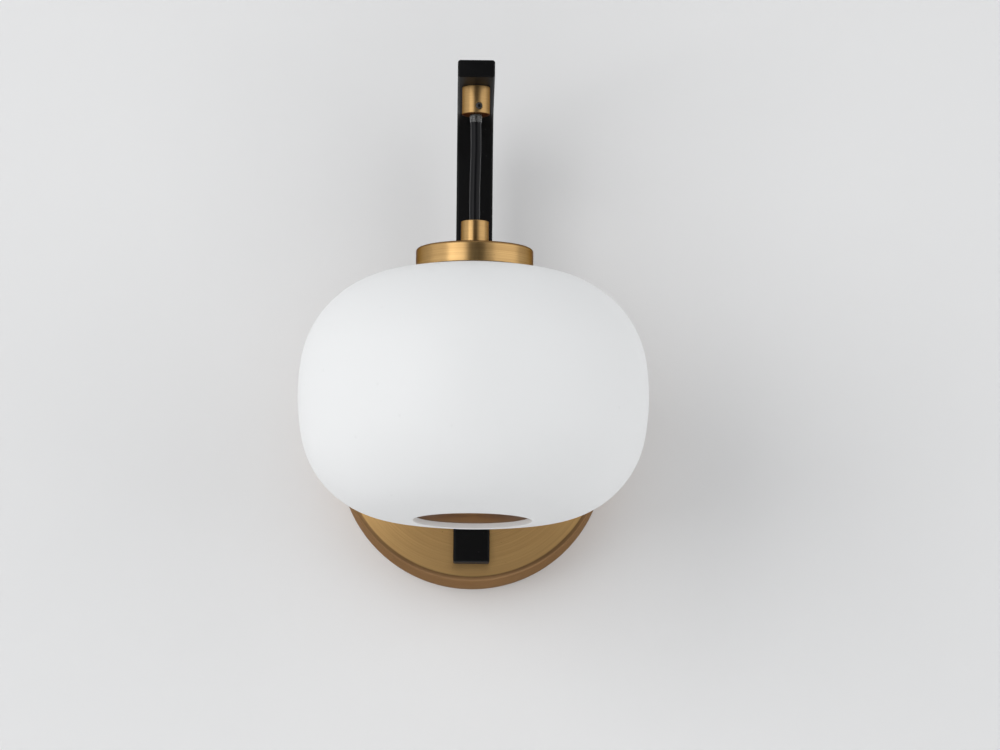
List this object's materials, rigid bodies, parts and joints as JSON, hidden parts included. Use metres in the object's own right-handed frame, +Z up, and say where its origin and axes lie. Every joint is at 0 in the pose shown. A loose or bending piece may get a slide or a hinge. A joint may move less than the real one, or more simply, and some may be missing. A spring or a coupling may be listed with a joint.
{
  "type": "hanging globe wall sconce",
  "caption": "Wall light: an opal glass globe with a brass cap and foot disc hangs on a short cord from a black bar that hooks forward from a round brass canopy.",
  "frame": {"origin": "centre of the canopy's back edge, on the wall plane", "axes": "+Z up, the room towards -Y, +Y into the wall, X along the wall; seen from the front +X is to the right"},
  "size_m": [0.203, 0.2602, 0.2849],
  "materials": {
    "brass_satin": "satin brushed brass, antique tone, lacquered",
    "black_powder_coat": "satin black powder coat",
    "opal_glass": "matt opal white, etched outside",
    "cord_black": "matt black round jacket",
    "black_steel": "black oxide",
    "clear_plastic": "clear grey nylon",
    "zinc_steel": "bright zinc plate",
    "ground_green": "green dyed zinc",
    "black_nylon": "moulded nylon",
    "white_plastic": "moulded, fine texture",
    "terminal_plastic": "moulded orange",
    "foam_tape": "closed-cell foam",
    "aluminium_bare": "turned, bare",
    "board_white": "white solder mask",
    "led_phosphor": "yellow phosphor",
    "silicone_clear": "translucent silicone"
  },
  "bodies": {
    "wall_side": {"wall_bracket": "zinc_steel", "ground_screw": "ground_green", "canopy": "brass_satin", "canopy_side_screws": "brass_satin", "arm_backing_plate": "zinc_steel", "wire_bushing": "black_nylon", "arm_screws": "zinc_steel", "arm_weld_nuts": "zinc_steel", "led_driver": "white_plastic", "driver_tape": "foam_tape", "driver_terminals": "terminal_plastic", "arm": "black_powder_coat", "arm_nipple": "zinc_steel", "arm_locknut": "zinc_steel", "cord_grip": "brass_satin", "grip_set_screw": "black_steel", "cord_collet": "clear_plastic", "cord_upper_end": "cord_black"},
    "cord_link": {"cord": "cord_black"},
    "shade": {"cord_lower_end": "cord_black", "cord_stem": "brass_satin", "stem_set_screw": "black_steel", "cap": "brass_satin", "cap_nipple": "zinc_steel", "heat_sink": "aluminium_bare", "led_board": "board_white", "led_chips": "led_phosphor", "led_board_screws": "zinc_steel", "top_gasket": "silicone_clear", "glass_globe": "opal_glass", "centre_rod": "zinc_steel", "bottom_gasket": "silicone_clear", "bottom_disc": "brass_satin"}
  },
  "joints": [
    {"name": "cord_side_swing", "type": "hinge", "parent": "wall_side", "child": "cord_link", "pos_m": [0, -0.1587, 0.1725], "axis": [0, 1, 0], "range_deg": [-30, 30]},
    {"name": "shade_front_back_swing", "type": "hinge", "parent": "cord_link", "child": "shade", "pos_m": [0, -0.1587, 0.118], "axis": [-1, 0, 0], "range_deg": [-3.5, 30]}
  ]
}
